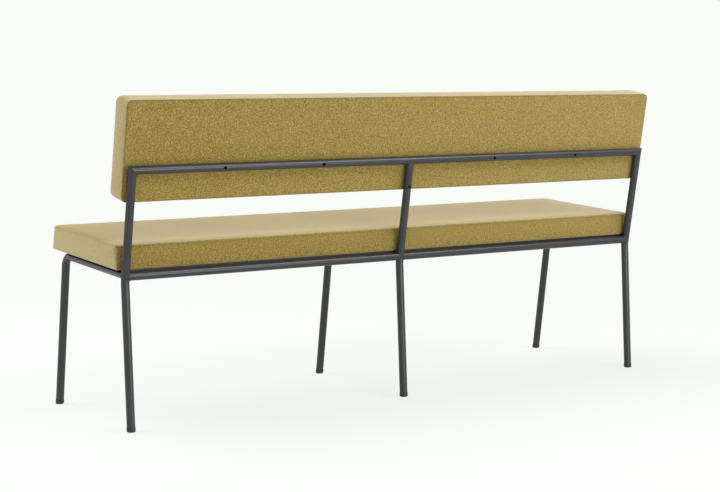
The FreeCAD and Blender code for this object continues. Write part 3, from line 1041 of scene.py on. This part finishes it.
def tube_faces(rings: int, sides: int) -> Array:
    """Quads of a tube along an open path, with both ends capped.

    Args:
        rings: Number of rings along the path.
        sides: Points of each ring, an even number.

    Returns:
        Quads as rows of vertex numbers, counted ring by ring.
    """
    index = np.arange(rings * sides).reshape(rings, sides)
    wall = grid_faces(np.concatenate([index, index[:, :1]], axis=1), True)
    fan = np.array([(0, turn, turn + 1, turn + 2) for turn in range(1, sides - 2, 2)])
    return np.concatenate([wall, index[0][fan], index[-1][fan[:, ::-1]]])


@dataclass
class WeldBeads:
    """Rippled weld beads where the frame's tubes meet, and ground mitres at the top corners."""

    tube: float = 0.011
    bead: float = 0.0017
    mitre: float = 0.0008
    ripple: float = 0.12
    ripple_pitch: float = 0.0022
    samples: int = 220
    sides: int = 10
    sunk: float = 0.97
    ground: float = 0.8
    ground_from: float = 0.2
    ground_over: float = 0.5
    side_rail_rise: float = 0.0035

    def build(self, paint: bpy.types.Material) -> None:
        """Makes all beads as one piece.

        Args:
            paint: Finish of the frame.
        """
        top = self.middle("top_rail")
        rear = self.middle("left_rear_rail")
        post = PadPlane.back().across
        seat, back = PadPlane.seat(), PadPlane.back()
        joint = top + post * ((rear[2] + self.side_rail_rise - top[2]) / post[2])
        along_x = np.array([1.0, 0.0, 0.0])
        none = np.zeros(3)
        beads = [self.saddle(top, -post, along_x, top, back.out)]
        for x in (-POST_SPACING, 0.0, POST_SPACING):
            side = along_x * x
            beads.append(self.saddle(joint + side, -seat.across, post, top + side, seat.out))
            inward = (along_x,) if x < 0 else (-along_x,) if x > 0 else (along_x, -along_x)
            beads += [self.saddle(rear + side, way, post, top + side, none) for way in inward]
            if x:
                beads.append(self.corner(top + side, math.copysign(1.0, x)))
        count = self.samples * self.sides
        index = np.arange(count).reshape(self.samples, self.sides)
        index = np.pad(index, ((0, 1), (0, 1)), mode="wrap")
        faces = (np.arange(len(beads))[:, None, None] * count + grid_faces(index, True)).reshape(-1, 4)
        mesh_piece("weld_beads", np.concatenate(beads), faces, paint)

    @staticmethod
    def middle(node: str) -> Array:
        """Point on the axis of a rail along the bench, in the plane X = 0."""
        low, high = (np.array(corner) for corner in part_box(node))
        return (low + high) / 2 * np.array([0.0, 1.0, 1.0])

    def saddle(self, start: Array, along: Array, main: Array, through: Array, bare: Array) -> Array:
        """Bead round the end of one tube on the wall of another.

        Its path is the set of points, just inside the branch's wall, whose distance from the main tube's axis
        is the tube's radius: the larger root of a quadratic along the branch, for each angle round it.

        Args:
            start: Point on the branch's axis.
            along: Direction of the branch, away from the main tube.
            main: Direction of the main tube.
            through: Point on the main tube's axis.
            bare: Direction of a pad, on whose side the bead is ground flush.

        Returns:
            Points of the bead.
        """
        first = np.cross(along, main)
        first /= np.linalg.norm(first)
        second = np.cross(along, first)
        angle = np.arange(self.samples) * 2 * np.pi / self.samples
        radial = np.cos(angle)[:, None] * first + np.sin(angle)[:, None] * second
        wall = start + radial * self.tube * self.sunk
        offset = wall - through
        offset = offset - np.outer(offset @ main, main)
        slope = along - main * (along @ main)
        square, linear = slope @ slope, offset @ slope
        rest = (offset ** 2).sum(axis=1) - self.tube ** 2
        reach = (np.sqrt(np.maximum(linear ** 2 - square * rest, 0.0)) - linear) / square
        return self.sweep(wall + reach[:, None] * along, radial, self.bead, radial @ bare)

    def corner(self, point: Array, sign: float) -> Array:
        """Ground bead on the ellipse of a mitre between the top rail and an end post.

        Args:
            point: Where the two axes meet.
            sign: 1 at the sitter's left end, else -1.

        Returns:
            Points of the bead.
        """
        plane = PadPlane.back()
        angle = np.arange(self.samples) * 2 * np.pi / self.samples
        radial = np.cos(angle)[:, None] * plane.across + np.sin(angle)[:, None] * plane.out
        path = point + radial * self.tube
        path[:, 0] += sign * self.tube * np.cos(angle)
        return self.sweep(path, radial, self.mitre, radial @ plane.out)

    def sweep(self, path: Array, radial: Array, size: float, towards: Array) -> Array:
        """Rippled round profile carried along a closed path.

        The radius is size * (1 + ripple * sin(2 pi n s)), with s the share of the way round and n the number
        of ripples. It loses the ground share of its size where the tube faces a pad.

        Args:
            path: Points of the path.
            radial: Direction out of the branch's axis at each point.
            size: Radius of the bead.
            towards: Cosine of the angle between the radial direction and a pad's.

        Returns:
            Points of the bead, ring by ring.
        """
        ahead = np.roll(path, -1, axis=0) - np.roll(path, 1, axis=0)
        ahead /= np.linalg.norm(ahead, axis=1, keepdims=True)
        normal = radial - (radial * ahead).sum(axis=1, keepdims=True) * ahead
        normal /= np.linalg.norm(normal, axis=1, keepdims=True)
        binormal = np.cross(ahead, normal)
        steps = np.linalg.norm(np.roll(path, -1, axis=0) - path, axis=1)
        share = np.concatenate([[0.0], np.cumsum(steps)[:-1]]) / steps.sum()
        waves = round(steps.sum() / self.ripple_pitch)
        radius = size * (1 + self.ripple * np.sin(2 * np.pi * waves * share))
        radius = radius * (1 - self.ground * np.clip((towards - self.ground_from) / self.ground_over, 0, 1))
        turn = (np.arange(self.sides) * 2 * np.pi / self.sides)[None, :, None]
        ring = np.cos(turn) * normal[:, None] + np.sin(turn) * binormal[:, None]
        return (path[:, None] + radius[:, None, None] * ring).reshape(-1, 3)


@dataclass
class PhotoCamera:
    """Camera at the photograph's place."""

    place: Triple = (2.7182, 4.0481, 0.9199)
    yaw: float = -0.58931
    pitch: float = 0.10466
    lens: float = 84.89
    sensor: float = 36.0

    def build(self) -> None:
        """Makes the camera and sets it as the scene's."""
        data = bpy.data.cameras.new("photo_camera")
        data.lens = self.lens
        data.sensor_width = self.sensor
        data.sensor_fit = "HORIZONTAL"
        camera = bpy.data.objects.new("photo_camera", data)
        camera.location = self.place
        level = math.cos(self.pitch)
        ahead = Vector((math.sin(self.yaw) * level, -math.cos(self.yaw) * level, -math.sin(self.pitch)))
        camera.rotation_euler = ahead.to_track_quat("-Z", "Y").to_euler()
        bpy.context.scene.collection.objects.link(camera)
        bpy.context.scene.camera = camera


@dataclass(frozen=True)
class Lamp:
    """Soft rectangular lamp, aimed at a target, with its size in metres and its power in watts."""

    name: str
    place: Triple
    target: Triple
    size: Span
    power: float

    def build(self) -> None:
        """Makes the lamp."""
        data = bpy.data.lights.new(self.name, "AREA")
        data.shape = "RECTANGLE"
        data.size, data.size_y = self.size
        data.energy = self.power
        lamp = bpy.data.objects.new(self.name, data)
        lamp.location = self.place
        lamp.rotation_euler = (Vector(self.target) - Vector(self.place)).to_track_quat("-Z", "Y").to_euler()
        bpy.context.scene.collection.objects.link(lamp)


@dataclass
class Studio:
    """Pale floor, white surroundings and soft lamps."""

    floor_size: float = 60.0
    floor_colour: Colour = (0.86, 0.86, 0.86)
    backdrop: Colour = (0.947, 0.973, 0.938)
    floor_glow: float = 0.80
    fade: Span = (1.6, 3.6)
    sky: float = 0.54
    lamps: tuple[Lamp, ...] = (
        Lamp("overhead", (2.9, -2.4, 6.2), (0.1, 0.0, 0.4), (4.8, 4.8), 360.0),
        Lamp("rear_right", (-2.0, 2.9, 3.5), (0.0, 0.2, 0.5), (2.8, 0.5), 78.0),
        Lamp("rear_low", (-1.0, 4.2, 0.6), (0.0, 0.2, 0.4), (1.2, 1.1), 50.0))

    def build(self) -> None:
        """Makes the floor, the world and the lamps."""
        bpy.context.scene.view_settings.view_transform = "Standard"
        self.floor()
        self.world()
        for lamp in self.lamps:
            lamp.build()

    @staticmethod
    def seen(shader: Shader) -> Sock:
        """1 for rays from the camera, from gloss and through glass, else 0."""
        kinds = [shader.node("ShaderNodeLightPath", output=name)
                 for name in ("Is Camera Ray", "Is Glossy Ray", "Is Transmission Ray")]
        return (kinds[0] + kinds[1] + kinds[2]).above(0.0, 1.0)

    def floor(self) -> None:
        """Floor that looks almost white, keeps the bench's soft shadow and fades into the surroundings."""
        half = self.floor_size / 2
        mesh = bpy.data.meshes.new("studio_floor")
        rim = [(-half, -half, 0), (half, -half, 0), (half, half, 0), (-half, half, 0)]
        mesh.from_pydata(rim, [], [(0, 1, 2, 3)])
        floor = bpy.data.objects.new("studio_floor", mesh)
        bpy.context.scene.collection.objects.link(floor)
        shader = Shader("pale_floor")
        away = shader.node("ShaderNodeVectorMath", {"operation": "LENGTH"}, {0: shader.place()}, 1)
        far = away.above(*self.fade)
        matt = shader.node("ShaderNodeBsdfDiffuse", None, {"Color": rgba(self.floor_colour)})
        glow = shader.node("ShaderNodeEmission", None, {"Color": rgba(self.backdrop), "Strength": 1.0})
        share = self.seen(shader) * (self.floor_glow + (1.0 - self.floor_glow) * far)
        mixed = shader.node("ShaderNodeMixShader", None, {0: share, 1: matt, 2: glow})
        shader.join(shader.tree.nodes["Material Output"].inputs["Surface"], mixed)
        mesh.materials.append(shader.material)

    def world(self) -> None:
        """White surroundings for the camera, and a plain sky level for the light."""
        world = bpy.data.worlds.new("studio")
        bpy.context.scene.world = world
        world.use_nodes = True
        shader = Shader.of_tree(world.node_tree)
        seen = self.seen(shader)
        ground = world.node_tree.nodes["Background"]
        white = rgba((1.0, 1.0, 1.0))
        shader.join(ground.inputs["Color"], shader.blend(seen, white, rgba(self.backdrop)))
        shader.join(ground.inputs["Strength"], self.sky + (1.0 - self.sky) * seen)


class Bench:
    """The whole bench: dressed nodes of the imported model, and the pieces that replace or join them."""

    def __init__(self, nodes: dict[str, bpy.types.Object]) -> None:
        """Makes the finishes and sets out the two pads.

        Args:
            nodes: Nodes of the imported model.
        """
        self.nodes = nodes
        self.finishes = {Slot.FRAME: PowderCoat().material(), Slot.GLIDE: MouldedPlastic().material(),
                         Slot.PLYWOOD: BirchPly().material(), Slot.CLOTH: FeltedWool().material(),
                         Slot.DUST: SpunCloth().material(), Slot.ZINC: ZincPlate().material()}
        self.seat = Pad("seat_pad", PadPlane.seat(), ("seat_cover", "seat_foam"), base_corner=0.005,
                        face_corner=0.016, panel_seam_depth=0.0, edge_seam_depth=0.0004, crown=0.0078,
                        shoulder=0.05, proud=0.0008)
        self.back = Pad("back_pad", PadPlane.back(), ("back_cover", "back_foam", "back_rear_panel"),
                        base_corner=0.016, face_corner=0.019, panel_seam_depth=0.0009, edge_seam_depth=0.0)

    def dress(self) -> None:
        """Gives each rigid node the finish of its slot."""
        by_name = {slot.value: material for slot, material in self.finishes.items()}
        for node in self.nodes.values():
            for slot in node.material_slots:
                slot.material = by_name.get(slot.material.name, slot.material)
            LOG.info("%s: dressed", node.name)

    def build(self) -> None:
        """Builds the pads, the dust cover with its staples, the black strips of painted shadow under the seat
        and the weld beads.
        """
        self.seat.build(self.nodes, self.finishes[Slot.CLOTH])
        self.back.build(self.nodes, self.finishes[Slot.CLOTH])
        DustCover().build(self.nodes["seat_dust_cover"], self.finishes[Slot.DUST], self.finishes[Slot.ZINC])
        # Black strips under the seat's ends are painted shadow, for the shade under its overhang.
        shadow_finish = PaintedShadowBlack().material()
        PaintedShadowStrips().build(self.nodes["seat_cover"], self.nodes["left_front_leg"], shadow_finish)
        WeldBeads().build(self.finishes[Slot.FRAME])


def main() -> None:
    """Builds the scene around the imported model."""
    logging.basicConfig(level=logging.INFO, format="%(message)s")
    for leftover in list(bpy.data.objects):
        bpy.data.objects.remove(leftover)
    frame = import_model()
    PhotoCamera().build()
    Studio().build()
    bench = Bench(frame["nodes"])
    bench.dress()
    bench.build()
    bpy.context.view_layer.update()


if __name__ == "__main__":
    main()
